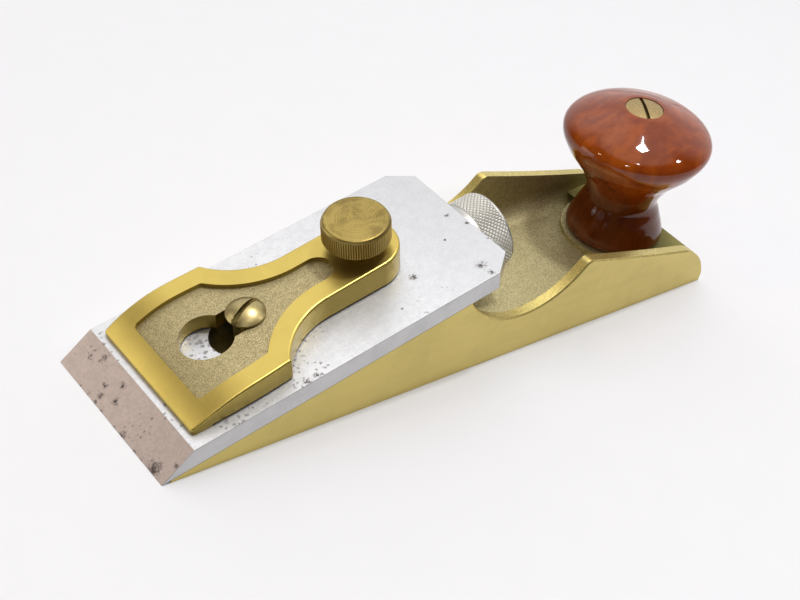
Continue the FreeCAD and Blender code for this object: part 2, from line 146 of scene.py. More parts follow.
class PLANE_PG_sizes(bpy.types.PropertyGroup):
    edge_break: length("Edge break", 0.16 * MM, "Round on the edges of the body")
    blade_break: length("Blade edge break", 0.12 * MM, "Round on the edges of the blade")
    cap_break: length("Cap edge break", 0.35 * MM, "Round on the edges of the lever cap")
    cap_crown: length("Cap crown", 0.8 * MM, "Round along the rim of its recess")
    screw_break: length("Screw edge break", 0.07 * MM, "Round on the screw and the nut")
    slot_wide: length("Cap screw slot", 1.15 * MM, "Width of the slot in the cap screw")
    slot_deep: length("Cap screw slot depth", 1.2 * MM, "Depth of that slot")
    nut_slot_wide: length("Nut slot", 0.9 * MM, "Width of the slot in the knob's nut")
    nut_slot_deep: length("Nut slot depth", 1.1 * MM, "Depth of that slot")
    thumb_teeth: count("Thumbscrew teeth", 88, 12, "Teeth of its straight knurl")
    thumb_tooth: length("Thumbscrew tooth", 0.26 * MM, "Depth of its knurl")
    thumb_head: length("Thumbscrew head", 5.6 * MM, "Thickness of its head")
    wheel_diamonds: count("Wheel diamonds", 52, 12, "Diamonds round the wheel")
    wheel_rows: count("Wheel rows", 6, 2, "Rows of diamonds along the wheel")
    wheel_tooth: length("Wheel tooth", 0.2 * MM, "Depth of the diamond knurl")
    wheel_front: length("Wheel front band", 1.5 * MM, "Plain band ahead of the knurl")
    wheel_land: length("Wheel rear band", 0.55 * MM, "Plain band behind the knurl")
    thread_pitch: length("Thread pitch", 1.0 * MM, "Pitch of the threads")
    thread_depth: length("Thread depth", 0.45 * MM, "Depth of the threads")


class PLANE_PG_colours(bpy.types.PropertyGroup):
    bronze: colour("Ground bronze", (0.68, 0.55, 0.185), "Outside of the body")
    cast: colour("Cast bronze", (0.65, 0.57, 0.31), "Rough inside of the body")
    gold: colour("Polished bronze", (0.66, 0.50, 0.13), "Rim of the lever cap")
    blast: colour("Blasted bronze", (0.47, 0.39, 0.205), "Recess of the lever cap")
    steel: colour("Ground steel", (0.76, 0.76, 0.77), "Blade")
    # The bevel's steel is painted darker and warmer: a painted reflection of the warm surroundings
    # it faces.
    bevel: colour("Bevel", (0.62, 0.52, 0.47), "Painted reflection on the ground bevel of the blade")
    # Painted shadow of the knob, on the trough round it and the flat behind it.
    heel: colour("Painted knob shadow", (0.26, 0.23, 0.075), "Flat behind the knob")
    rust: colour("Rust", (0.075, 0.05, 0.04), "Spots on the blade")
    brass: colour("Aged brass", (0.35, 0.255, 0.078), "Thumbscrew")
    screw: colour("Turned brass", (0.52, 0.42, 0.19), "Cap screw")
    nut: colour("Dull brass", (0.46, 0.33, 0.145), "Nut on the knob")
    bright: colour("Bright steel", (0.86, 0.84, 0.78), "Adjuster wheel")
    wood: colour("Cherry", (0.38, 0.075, 0.004), "Light parts of the knob's grain")
    heart: colour("Dark cherry", (0.22, 0.034, 0.002), "Dark parts of the knob's grain")


def settings(context):
    return context.scene.plane_sizes, context.scene.plane_colours


# ---- mesh helpers ----

def new_piece(name, mesh_builder, body, slot, *nodes):
    """Makes an object from a bmesh, rides it on its body and lets it stand for CAD nodes."""
    mesh = bpy.data.meshes.new(name)
    mesh_builder.to_mesh(mesh)
    mesh_builder.free()
    piece = bpy.data.objects.new(name, mesh)
    bpy.context.scene.collection.objects.link(piece)
    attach(piece, body)
    if nodes:
        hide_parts(*nodes)
    return piece


def cad_copy(node):
    """Merged copy of a CAD node with its flat faces joined, ready to bevel."""
    bm = bmesh.new()
    bm.from_mesh(frame["nodes"][node].data)
    bmesh.ops.remove_doubles(bm, verts=bm.verts, dist=0.002 * MM)
    bmesh.ops.dissolve_degenerate(bm, dist=0.001 * MM, edges=bm.edges)
    bmesh.ops.dissolve_limit(bm, angle_limit=math.radians(0.2), use_dissolve_boundaries=False,
                             verts=bm.verts, edges=bm.edges, delimit={"NORMAL"})
    return bm


def smooth(piece, sharp):
    """Smooths the curved faces and leaves edges past an angle in degrees sharp."""
    for face in piece.data.polygons:
        face.use_smooth = True
    piece.data.set_sharp_from_angle(angle=math.radians(sharp))


def soften(piece, width, sharp=35.0):
    """Rounds the sharp edges and smooths the curved faces."""
    smooth(piece, sharp)
    bevel = piece.modifiers.new("edge break", "BEVEL")
    bevel.width = width
    bevel.segments = 2
    bevel.limit_method = "ANGLE"
    bevel.angle_limit = math.radians(sharp)
    bevel.use_clamp_overlap = True
    bevel.miter_outer = "MITER_ARC"
    shading = piece.modifiers.new("even shading", "WEIGHTED_NORMAL")
    shading.mode = "FACE_AREA"
    shading.weight = 80
    shading.keep_sharp = True


def lathe(rings, steps, matrix):
    """Turned shape from rings (height, radius or radius of a step number), closed at both ends."""
    bm = bmesh.new()
    verts = bmesh.ops.create_circle(bm, segments=steps, radius=1.0)["verts"]
    edges = list(bm.edges)
    rows = []
    for number, (height, radius) in enumerate(rings):
        if number:
            made = bmesh.ops.extrude_edge_only(bm, edges=edges)["geom"]
            verts = [v for v in made if isinstance(v, bmesh.types.BMVert)]
            edges = [e for e in made if isinstance(e, bmesh.types.BMEdge)
                     and all(v in verts for v in e.verts)]
        for vert in verts:
            angle = math.atan2(vert.co.y, vert.co.x)
            step = round(angle * steps / math.tau) % steps
            wide = radius(step) if callable(radius) else radius
            vert.co = Vector((wide * math.cos(angle), wide * math.sin(angle), height))
        rows.append(verts)
    for row in (rows[0], rows[-1]):
        bmesh.ops.contextual_create(bm, geom=row)
    bmesh.ops.recalc_face_normals(bm, faces=bm.faces)
    bmesh.ops.transform(bm, matrix=matrix, verts=bm.verts)
    return bm, rows


def cut_slot(bm, matrix, turn, wide, floor):
    """Cuts a screwdriver slot straight across the domed end of a turned shape."""
    slot = matrix @ Matrix.Rotation(turn, 4, "Z")
    inverse = slot.inverted()
    side = slot.to_3x3() @ Vector((0, 1, 0))
    out = slot.to_3x3() @ Vector((0, 0, 1))
    for across in (-wide / 2, wide / 2):
        bmesh.ops.bisect_plane(bm, geom=bm.verts[:] + bm.edges[:] + bm.faces[:],
                               plane_co=slot @ Vector((0, across, 0)), plane_no=side)
    strip = [f for f in bm.faces if abs((inverse @ f.calc_center_median()).y) < wide / 2]
    geom = {item for face in strip for item in (*face.verts, *face.edges, face)}
    bmesh.ops.bisect_plane(bm, geom=list(geom), plane_co=slot @ Vector((0, 0, floor)),
                           plane_no=out)
    places = [(f, inverse @ f.calc_center_median()) for f in bm.faces]
    sunk = [f for f, place in places if abs(place.y) < wide / 2 and place.z > floor]
    for vert in bmesh.ops.extrude_face_region(bm, geom=sunk)["geom"]:
        if isinstance(vert, bmesh.types.BMVert):
            place = inverse @ vert.co
            vert.co = slot @ Vector((place.x, place.y, floor))
    bmesh.ops.delete(bm, geom=[f for f in sunk if f.is_valid], context="FACES_ONLY")
    bmesh.ops.remove_doubles(bm, verts=bm.verts, dist=0.03 * MM)
    bmesh.ops.dissolve_degenerate(bm, dist=0.01 * MM, edges=bm.edges)
    bmesh.ops.recalc_face_normals(bm, faces=bm.faces)


def smooth_curve(points, steps):
    """Points on a smooth curve through the given points."""
    curve = []
    for number in range(len(points) - 1):
        a, b = points[number], points[number + 1]
        before = points[max(number - 1, 0)]
        after = points[min(number + 2, len(points) - 1)]
        reach = (b - a).length / 3
        first = a + (b - before).normalized() * reach
        second = b - (after - a).normalized() * reach
        curve += interpolate_bezier(a, first, second, b, steps + 1)[:-1]
    return curve + [points[-1]]


# ---- node helpers ----

class Graph:
    """Short way to add and link shader nodes in a tree."""

    def __init__(self, tree):
        self.tree = tree

    def add(self, kind, inputs=None, **settings):
        node = self.tree.nodes.new("ShaderNode" + kind)
        for key, value in settings.items():
            setattr(node, key, value)
        for key, value in (inputs or {}).items():
            self.put(node.inputs[key], value)
        return node

    def put(self, socket, value):
        if isinstance(value, bpy.types.NodeSocket):
            self.tree.links.new(value, socket)
        else:
            socket.default_value = value

    def math(self, operation, a, b):
        return self.add("Math", {0: a, 1: b}, operation=operation).outputs[0]

    def sum(self, a, factor, b):
        """a times a factor, plus b."""
        return self.add("Math", {0: a, 1: factor, 2: b}, operation="MULTIPLY_ADD").outputs[0]

    def vector(self, operation, a, b=(0.0, 0.0, 0.0)):
        return self.add("VectorMath", {0: a, 1: b}, operation=operation).outputs

    def noise(self, place, scale, detail, **more):
        """Noise at a place, with more of its sockets set by name."""
        return self.add("TexNoise", {"Vector": place, "Scale": scale, "Detail": detail,
                                     **more}).outputs

    def ramp(self, factor, low, high):
        """Smooth step of a value from 0 at low to 1 at high."""
        return self.add("MapRange", {0: factor, 1: low, 2: high},
                        interpolation_type="SMOOTHSTEP").outputs[0]

    def mix(self, factor, a, b):
        """Blend of two colours, each a socket or three numbers."""
        a, b = (c if isinstance(c, bpy.types.NodeSocket) else (*c[:3], 1.0) for c in (a, b))
        return self.add("Mix", {0: factor, 6: a, 7: b}, data_type="RGBA").outputs[2]

    def blend(self, factor, a, b):
        """Blend of two numbers."""
        return self.add("Mix", {0: factor, 2: a, 3: b}, data_type="FLOAT").outputs[0]


def scaled(tint, factor):
    """A colour made darker or lighter."""
    return [min(channel * factor, 1.0) for channel in tint]


def shared_group(name, ins, outs):
    """Makes the function below it, which fills a node group, build that group only once."""
    kinds = {"f": "NodeSocketFloat", "v": "NodeSocketVector"}

    def wrap(fill):
        def group():
            tree = bpy.data.node_groups.get(name)
            if tree:
                return tree
            tree = bpy.data.node_groups.new(name, "ShaderNodeTree")
            for label, kind, default in ins:
                socket = tree.interface.new_socket(name=label, in_out="INPUT",
                                                   socket_type=kinds[kind])
                if default is not None:
                    socket.default_value = default
            for label in outs:
                tree.interface.new_socket(name=label, in_out="OUTPUT", socket_type=kinds["f"])
            taken = tree.nodes.new("NodeGroupInput").outputs
            given = tree.nodes.new("NodeGroupOutput").inputs
            fill(Graph(tree), taken, given)
            return tree
        return group
    return wrap


@shared_group("grain lines", [("Vector", "v", None), ("Across", "f", 3000.0),
                              ("Along", "f", 60.0)], ["Fac", "Broad"])
def grain_lines_group(g, taken, given):
    """Fine parallel scratches: Vector in, with the scratches along its first axis."""
    parts = g.add("SeparateXYZ", {0: taken["Vector"]}).outputs
    along = g.math("MULTIPLY", parts[0], taken["Along"])
    y = g.math("MULTIPLY", parts[1], taken["Across"])
    z = g.math("MULTIPLY", parts[2], taken["Across"])
    place = g.add("CombineXYZ", {0: along, 1: y, 2: z}).outputs[0]
    fine = g.noise(place, 1.0, 3.0, Roughness=0.65)
    wide = g.add("VectorMath", {0: place, 3: 0.13}, operation="SCALE").outputs[0]
    g.put(given["Fac"], fine["Fac"])
    g.put(given["Broad"], g.noise(wide, 1.0, 2.0)["Fac"])


@shared_group("cast skin", [("Vector", "v", None), ("Scale", "f", 2600.0)], ["Height", "Mask"])
def cast_skin_group(g, taken, given):
    """Grainy skin of sand-cast or blasted metal: a height and a colour mask."""
    place, scale = taken["Vector"], taken["Scale"]
    fine = g.noise(place, scale, 4.0, Roughness=0.6)["Fac"]
    coarse = g.noise(place, g.math("MULTIPLY", scale, 0.22), 3.0)["Fac"]
    pits = g.add("TexVoronoi", {"Vector": place, "Scale": g.math("MULTIPLY", scale, 0.6)})
    height = g.sum(pits.outputs["Distance"], 0.5, fine)
    g.put(given["Height"], g.sum(coarse, 1.2, height))
    g.put(given["Mask"], g.sum(fine, 0.85, g.math("MULTIPLY", coarse, 0.15)))


@shared_group("tarnish", [("Vector", "v", None), ("Scale", "f", 120.0)], ["Fac"])
def tarnish_group(g, taken, given):
    """Slow blotches of tarnish and fingerprints, from 0 to 1."""
    blotch = g.noise(taken["Vector"], taken["Scale"], 5.0, Roughness=0.7, Distortion=0.6)
    g.put(given["Fac"], g.ramp(blotch["Fac"], 0.38, 0.68))


@shared_group("freckles", [("Vector", "v", None), ("Scale", "f", 300.0), ("Amount", "f", 0.35)],
              ["Fac"])
def freckles_group(g, taken, given):
    """Small scattered pits or rust freckles."""
    warp = g.noise(taken["Vector"], 900.0, 2.0)["Color"]
    shift = g.add("VectorMath", {0: warp, 3: 0.0012}, operation="SCALE").outputs[0]
    place = g.vector("ADD", taken["Vector"], shift)[0]
    cells = g.add("TexVoronoi", {"Vector": place, "Scale": taken["Scale"]})
    room = g.ramp(g.noise(taken["Vector"], 70.0, 2.0)["Fac"], 0.42, 0.72)
    size = g.math("MULTIPLY", room, taken["Amount"])
    inside = g.math("SUBTRACT", size, cells.outputs["Distance"])
    g.put(given["Fac"], g.ramp(inside, 0.0, 0.25))


@shared_group("patch", [("Vector", "v", None), ("Centre", "v", None), ("Radius", "f", 0.001)],
              ["Fac"])
def patch_group(g, taken, given):
    """One ragged spot: 1 at its centre, 0 outside its radius."""
    away = g.vector("DISTANCE", taken["Vector"], taken["Centre"])["Value"]
    ragged = g.noise(taken["Vector"], 1500.0, 4.0, Roughness=0.7)["Fac"]
    edge = g.sum(ragged, 3.0, g.math("DIVIDE", away, taken["Radius"]))
    g.put(given["Fac"], g.ramp(edge, 2.25, 1.3))


def start_material(name, matrix=None):
    """Material with a Principled shader, and its position in a local frame."""
    material = bpy.data.materials.new(name)
    material.use_nodes = True
    g = Graph(material.node_tree)
    shader = material.node_tree.nodes["Principled BSDF"]
    place = g.add("TexCoord").outputs["Object"]
    if matrix is not None:
        inverse = matrix.to_3x3().inverted()
        turn = inverse.to_euler("XYZ")
        shift = -(inverse @ matrix.translation)
        place = g.add("Mapping", {"Vector": place, "Location": shift,
                                  "Rotation": turn}).outputs[0]
    return material, g, shader, place


def use_group(g, tree, **inputs):
    """Adds a shared node group and returns what it gives."""
    node = g.tree.nodes.new("ShaderNodeGroup")
    node.node_tree = tree
    for key, value in inputs.items():
        g.put(node.inputs[key], value)
    return node.outputs


def bump(g, shader, height, distance):
    """Roughens a shader's surface by a height times a distance."""
    node = g.add("Bump", {"Height": height, "Distance": distance, "Strength": 1.0})
    g.put(shader.inputs["Normal"], node.outputs[0])


def finish(g, shader, tone, rough, metal):
    """Sets a shader's colour, its roughness and how far it is metal."""
    for name, value in (("Base Color", tone), ("Roughness", rough), ("Metallic", metal)):
        g.put(shader.inputs[name], value)


def from_axis(g, place):
    """Distance of a place from its frame's third axis."""
    return g.vector("LENGTH", g.vector("MULTIPLY", place, (1.0, 1.0, 0.0))[0])["Value"]


# ---- materials ----

def ground_metal(name, base, dark, roughness, matrix=None, across=2600.0, depth=0.004 * MM):
    """Metal ground or sanded along its length, with faint tarnish."""
    material, g, shader, place = start_material(name, matrix)
    lines = use_group(g, grain_lines_group(), Vector=place, Across=across, Along=55.0)
    blotch = use_group(g, tarnish_group(), Vector=place, Scale=90.0)
    tone = g.mix(g.math("MULTIPLY", blotch[0], 0.45), base, dark)
    streak = g.math("MULTIPLY", lines["Broad"], 0.35)
    rough = g.blend(lines["Fac"], roughness - 0.08, roughness + 0.1)
    finish(g, shader, g.mix(streak, tone, scaled(base, 0.72)), rough, 1.0)
    bump(g, shader, lines["Fac"], depth)
    return material


def cast_metal(name, base, dark, roughness, scale=2600.0, depth=0.05 * MM, fade=None):
    """Grainy cast or blasted metal. A fade is painted shade: a start, an end and the shaded colour
    along the plane.
    """
    material, g, shader, place = start_material(name)
    skin = use_group(g, cast_skin_group(), Vector=place, Scale=scale)
    mask = g.ramp(skin["Mask"], 0.38, 0.6)
    tone = g.mix(mask, dark, base)
    if fade:
        along = g.add("SeparateXYZ", {0: place}).outputs[0]
        tone = g.mix(g.ramp(along, fade[0], fade[1]), tone, fade[2])
    finish(g, shader, tone, g.blend(mask, roughness + 0.1, roughness - 0.06), 0.85)
    bump(g, shader, skin["Height"], depth)
    return material


def turned_metal(name, base, dark, roughness, matrix, rings=9000.0):
    """Metal turned on a lathe: faint rings round its axis, and tarnish."""
    material, g, shader, place = start_material(name, matrix)
    turn = g.add("TexNoise", {"W": g.math("MULTIPLY", from_axis(g, place), rings),
                              "Scale": 1.0, "Detail": 2.0}, noise_dimensions="1D")
    blotch = use_group(g, tarnish_group(), Vector=place, Scale=170.0)
    stain = g.math("ADD", g.math("MULTIPLY", turn.outputs["Fac"], 0.7),
                   g.math("MULTIPLY", blotch[0], 0.5))
    ringed = g.blend(turn.outputs["Fac"], roughness - 0.08, roughness + 0.12)
    finish(g, shader, g.mix(g.ramp(stain, 0.2, 0.85), base, dark),
           g.sum(blotch[0], 0.12, ringed), 1.0)
    bump(g, shader, turn.outputs["Fac"], 0.006 * MM)
    return material


def knurled_metal(name, base, groove, roughness, matrix, root, crest):
    """Knurled metal: darker in the grooves and lighter on the crests."""
    material, g, shader, place = start_material(name, matrix)
    deep = crest - root
    towards_crest = g.ramp(from_axis(g, place), root + 0.15 * deep, crest - 0.1 * deep)
    blotch = use_group(g, tarnish_group(), Vector=place, Scale=300.0)
    tone = g.mix(towards_crest, groove, base)
    tone = g.mix(g.math("MULTIPLY", blotch[0], 0.35), tone, scaled(base, 0.6))
    finish(g, shader, tone, g.blend(towards_crest, roughness + 0.25, roughness), 1.0)
    skin = use_group(g, cast_skin_group(), Vector=place, Scale=5000.0)
    bump(g, shader, skin["Height"], 0.006 * MM)
    return material


# Rust on the blade, in the bed frame: place up the bed and across, and radius, in millimetres.
TOP_RUST = ((35.9, -20.0, 1.7), (38.3, -19.7, 1.2), (71.3, -9.9, 1.6), (85.3, -16.1, 1.9),
            (85.7, -19.3, 1.2), (89.6, 1.0, 0.9), (42.9, 21.3, 0.8), (91.5, -3.8, 0.9),
            (63.5, -15.8, 0.6), (84.1, -5.0, 0.6))
BEVEL_RUST = ((0.9, -16.4, 3.0), (0.4, -4.9, 1.6), (6.5, 12.3, 1.5), (5.0, 15.5, 1.1),
              (3.5, 7.2, 1.3), (1.8, 6.3, 1.4), (6.0, 3.6, 1.3), (3.2, 2.2, 1.5),
              (0.4, 9.0, 0.8), (0.3, 6.1, 1.0), (0.2, 3.4, 0.9), (0.1, -10.0, 0.9),
              (0.1, -12.8, 1.0), (4.1, -19.9, 0.8), (0.2, -2.0, 0.7), (0.2, 12.0, 0.6))


def steel_material(name, base, rust, rust_places, level, roughness, freckle):
    """Ground steel with fine pits, freckles and a few rust spots."""
    material, g, shader, place = start_material(name, BED)
    lines = use_group(g, grain_lines_group(), Vector=place, Across=1900.0, Along=500.0)
    pits = use_group(g, freckles_group(), Vector=place, Scale=800.0, Amount=freckle)
    skin = use_group(g, cast_skin_group(), Vector=place, Scale=2300.0)
    blotch = use_group(g, tarnish_group(), Vector=place, Scale=60.0)
    # Darker towards the tail: painted shade where the blade reflects less of the room, and patina.
    tail_shade_and_patina = g.ramp(g.add("SeparateXYZ", {0: place}).outputs[0], 45 * MM, 92 * MM)
    grey = g.ramp(skin["Height"], 1.5, 1.2)
    tone = base
    for where, share, dark in ((blotch[0], 0.3, 0.88), (lines["Fac"], 0.3, 0.78),
                               (tail_shade_and_patina, 0.8, 0.72), (grey, 0.22, 0.6)):
        tone = g.mix(g.math("MULTIPLY", where, share), tone, scaled(base, dark))
    spoiled = g.math("MULTIPLY", pits[0], 0.55)
    for along, across, radius in rust_places:
        spot = use_group(g, patch_group(), Vector=place, Radius=radius * MM,
                         Centre=(along * MM, across * MM, level(along) * MM))
        spoiled = g.math("MAXIMUM", spoiled, spot[0])
    rough = g.blend(lines["Fac"], roughness - 0.06, roughness + 0.12)
    finish(g, shader, g.mix(spoiled, tone, rust), g.blend(spoiled, rough, 0.85),
           g.blend(spoiled, 1.0, 0.0))
    bump(g, shader, g.sum(spoiled, -1.5, skin["Height"]), 0.012 * MM)
    return material


def knob_material(wood, heart):
    """Varnished cherry: soft streaks of grain along the knob under a glossy coat."""
    material, g, shader, place = start_material("varnished_cherry", KNOB)
    along = g.add("Mapping", {"Vector": place, "Scale": (210.0, 330.0, 38.0)}).outputs[0]
    streaks = g.noise(along, 1.0, 4.0, Roughness=0.55, Distortion=0.3)["Fac"]
    figure = g.noise(place, 42.0, 2.0)["Fac"]
    flecks = g.add("Mapping", {"Vector": place, "Scale": (1500.0, 700.0, 420.0)}).outputs[0]
    fine = g.noise(flecks, 1.0, 3.0)["Fac"]
    grain = g.sum(streaks, 0.55, g.math("MULTIPLY", figure, 0.5))
    tone = g.mix(g.ramp(grain, 0.38, 0.64), heart, wood)
    flecked = g.math("MULTIPLY", g.ramp(fine, 0.5, 0.72), 0.3)
    tone = g.mix(flecked, tone, heart)
    # Darker below the waist: painted shade of the knob's head on its stem.
    height = g.add("SeparateXYZ", {0: place}).outputs[2]
    shaded = g.mix(0.6, tone, scaled(heart, 0.3))
    tone = g.mix(g.ramp(height, 9 * MM, 21 * MM), shaded, tone)
    finish(g, shader, tone, 0.45, 0.0)
    for name, value in (("Specular IOR Level", 0.0), ("Coat Weight", 1.0),
                        ("Coat Roughness", 0.05), ("Coat IOR", 1.5)):
        shader.inputs[name].default_value = value
    bump(g, shader, fine, 0.003 * MM)
    return material


def paint_faces(piece, materials, choose):
    """Gives each face the material whose number choose(centre, normal) returns."""
    for material in materials:
        piece.data.materials.append(material)
    for face in piece.data.polygons:
        face.material_index = choose(face.center, face.normal)


def top_line(points):
    """Upper side of a convex outline, as (along, height) pairs from front to back."""
    line = []
    for point in sorted((p.x, p.z) for p in points):
        while len(line) > 1:
            (ax, az), (bx, bz) = line[-2], line[-1]
            if (bx - ax) * (point[1] - az) >= (bz - az) * (point[0] - ax):
                line.pop()
            else:
                break
        line.append(point)
    return line


def height_at(line, along):
    """Height of a line of pairs at one place."""
    for (ax, az), (bx, bz) in zip(line, line[1:]):
        if ax <= along <= bx and bx > ax:
            return az + (bz - az) * (along - ax) / (bx - ax)
    return line[-1][1]


# ---- operators, one for each piece or group of pieces ----

class PLANE_OT_body(bpy.types.Operator):
    """Cast body with ground sides, polished rims painted lighter as a highlight, and a rough
    trough
    """
    bl_idname = "plane.body"
    bl_label = "Body"

    def execute(self, context):
        sizes, tints = settings(context)
        body = new_piece("body_casting", cad_copy("body"), "plane", "body_bronze", "body")
        dark = scaled(tints.bronze, 0.8)
        outside = ground_metal("ground_bronze", tints.bronze, dark, 0.36)
        knob_x = KNOB.translation.x
        # Round and behind the knob the trough fades to the heel colour: painted shadow of the
        # knob.
        inside = cast_metal("cast_bronze", tints.cast, scaled(tints.cast, 0.6), 0.58,
                            scale=2900.0, depth=0.05 * MM,
                            fade=(knob_x - 11.0 * MM, knob_x + 3.0 * MM, tints.heel))
        # The rim is the ground bronze made lighter on its upward faces: polished, with a painted
        # highlight.
        rim = cast_metal("rim_bronze_painted_highlight", scaled(tints.bronze, 1.15), dark, 0.36, scale=2400.0,
                         depth=0.03 * MM)
        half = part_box("body")[1][1]
        hollow_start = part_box("adjuster_stud")[0][0] + STUD_IN_BODY

        def choose(centre, normal):
            within = abs(centre.y) < half - WALL + 0.02 * MM
            if within and centre.x > hollow_start and centre.z > SOLE:
                return 1
            if normal.z > 0.4 and hollow_start < centre.x < knob_x - RIM_END:
                return 2
            return 0

        paint_faces(body, [outside, inside, rim], choose)
        soften(body, sizes.edge_break)
        return {"FINISHED"}


class PLANE_OT_blade(bpy.types.Operator):
    """Thick ground blade with its bevel and rust spots"""
    bl_idname = "plane.blade"
    bl_label = "Blade"

    def execute(self, context):
        sizes, tints = settings(context)
        blade = new_piece("blade_plate", cad_copy("blade"), "blade", "blade_steel", "blade")
        thick = local_box("blade", BED)[1].z / MM
        slope = math.tan(math.radians(BEVEL_ANGLE))
        top = steel_material("blade_face", tints.steel, tints.rust, TOP_RUST,
                             lambda along: thick, 0.46, 0.5)
        # The bevel's colour holds a painted reflection of the warm surroundings it faces.
        bevel = steel_material("blade_bevel", tints.bevel, tints.rust, BEVEL_RUST,
                               lambda along: along * slope, 0.55, 0.36)
        # The narrow sides are a darker copy of the blade's steel: painted shade.
        side = ground_metal("blade_side_shaded", scaled(tints.steel, 0.8),
                            scaled(tints.steel, 0.55), 0.3, BED)
        turn = BED.to_3x3().inverted()

        def choose(centre, normal):
            out = turn @ normal
            if out.x < -0.3 and out.z > 0.5:
                return 1
            return 0 if abs(out.z) > 0.7 else 2

        paint_faces(blade, [top, bevel, side], choose)
        soften(blade, sizes.blade_break)
        return {"FINISHED"}


class PLANE_OT_lever_cap(bpy.types.Operator):
    """Lever cap with a polished rim and a blasted recess"""
    bl_idname = "plane.lever_cap"
    bl_label = "Lever cap"

    def execute(self, context):
        sizes, tints = settings(context)
        line = top_line(local_points("lever_cap", BED))
        inverse = BED.inverted()
        turn = inverse.to_3x3()

        def recessed(centre, normal):
            """True for the floor of the recess."""
            place = inverse @ centre
            return (turn @ normal).z > 0.8 and place.z < height_at(line, place.x) - RECESS_FALL

        bm = cad_copy("lever_cap")
        crown_recess(bm, recessed, turn, sizes.cap_crown)
        cap = new_piece("cap_plate", bm, "cap", "cap_bronze", "lever_cap")
        rim = ground_metal("cap_rim", tints.gold, scaled(tints.gold, 0.8), 0.33, BED,
                           across=1700.0)
        field = cast_metal("cap_field", scaled(tints.blast, 1.12),
                           scaled(tints.blast, 0.66), 0.52, scale=3600.0, depth=0.06 * MM)
        # The sides are a darker copy of the rim's bronze: painted shade on the faces turned away
        # from the light.
        side = ground_metal("cap_side_shaded", scaled(tints.gold, 0.62),
                            scaled(tints.gold, 0.4), 0.34, BED)

        def choose(centre, normal):
            if recessed(centre, normal):
                return 1
            return 0 if (turn @ normal).z > 0.3 else 2

        paint_faces(cap, [rim, field, side], choose)
        soften(cap, sizes.cap_break)
        return {"FINISHED"}


def crown_recess(bm, recessed, turn, width):
    """Rounds the rim of the lever cap over into its recess."""
    walls = set()
    for face in bm.faces:
        if recessed(face.calc_center_median(), face.normal):
            for edge in face.edges:
                for other in edge.link_faces:
                    if abs((turn @ other.normal).z) < 0.5:
                        walls.add(other)
    rim = []
    for face in walls:
        for edge in face.edges:
            for other in edge.link_faces:
                out = (turn @ other.normal).z
                if out > 0.6 and not recessed(other.calc_center_median(), other.normal):
                    rim.append(edge)
    bmesh.ops.bevel(bm, geom=list(set(rim)), offset=width, offset_type="OFFSET", segments=4,
                    profile=0.5, affect="EDGES", material=-1, clamp_overlap=True)


class PLANE_OT_cap_screw(bpy.types.Operator):
    """Domed slotted screw that holds the lever cap"""
    bl_idname = "plane.cap_screw"
    bl_label = "Cap screw"

    def execute(self, context):
        sizes, tints = settings(context)
        points = local_points("lever_cap_screw", SCREW)
        low, high = local_box("lever_cap_screw", SCREW)
        head = max(p.xy.length for p in points)
        shank = max(p.xy.length for p in points if p.z < low.z + 1.0 * MM)
        under = min(p.z for p in points if p.xy.length > head - NEAR)
        rings = [(low.z, 0.8 * shank), (low.z + 0.4 * MM, shank), (under, shank),
                 (under, head - 0.15 * MM), (under + 0.15 * MM, head)]
        rings += dome(head, under + 0.5 * MM, high.z, 10)
        floor = high.z - sizes.slot_deep
        bm = lathe(rings, 96, SCREW)[0]
        cut_slot(bm, SCREW, SLOT_TURN, sizes.slot_wide, floor)
        screw = new_piece("cap_screw", bm, "cap_screw", "screw_brass", "lever_cap_screw")
        face_brass = turned_metal("turned_brass", tints.screw, scaled(tints.screw, 0.7),
                                  0.3, SCREW, 2500.0)
        paint_slotted(screw, face_brass, tints.brass, SCREW, SLOT_TURN, sizes.slot_wide, floor)
        soften(screw, sizes.screw_break)
        return {"FINISHED"}


def paint_slotted(piece, face_metal, slot_shade_base, matrix, turn, wide, floor):
    """Gives a screw its metal, and the walls and floor of its slot a dark dull one: painted shade
    in the slot.
    """
    slot = (matrix @ Matrix.Rotation(turn, 4, "Z")).inverted()
    # The slot's walls and floor get a dark, dull metal: painted shade inside the slot.
    groove = cast_metal(piece.name + "_slot", scaled(slot_shade_base, 0.55), scaled(slot_shade_base, 0.3), 0.6,
                        depth=0.01 * MM)

    def choose(centre, normal):
        place = slot @ centre
        side = abs((slot.to_3x3() @ normal).y) > 0.9
        return 1 if abs(place.y) < 0.6 * wide and (side or place.z < floor + 0.01 * MM) else 0

    paint_faces(piece, [face_metal, groove], choose)


def dome(radius, edge, top, steps):
    """Rings (height, radius) of a spherical cap that ends in a tiny flat."""
    rise = top - edge
    sphere = (radius ** 2 + rise ** 2) / (2 * rise)
    spread = math.asin(radius / sphere)
    rings = []
    for number in range(steps + 1):
        angle = spread * (1 - number / steps)
        rings.append((top - sphere * (1 - math.cos(angle)),
                      max(sphere * math.sin(angle), 0.02 * radius)))
    return rings


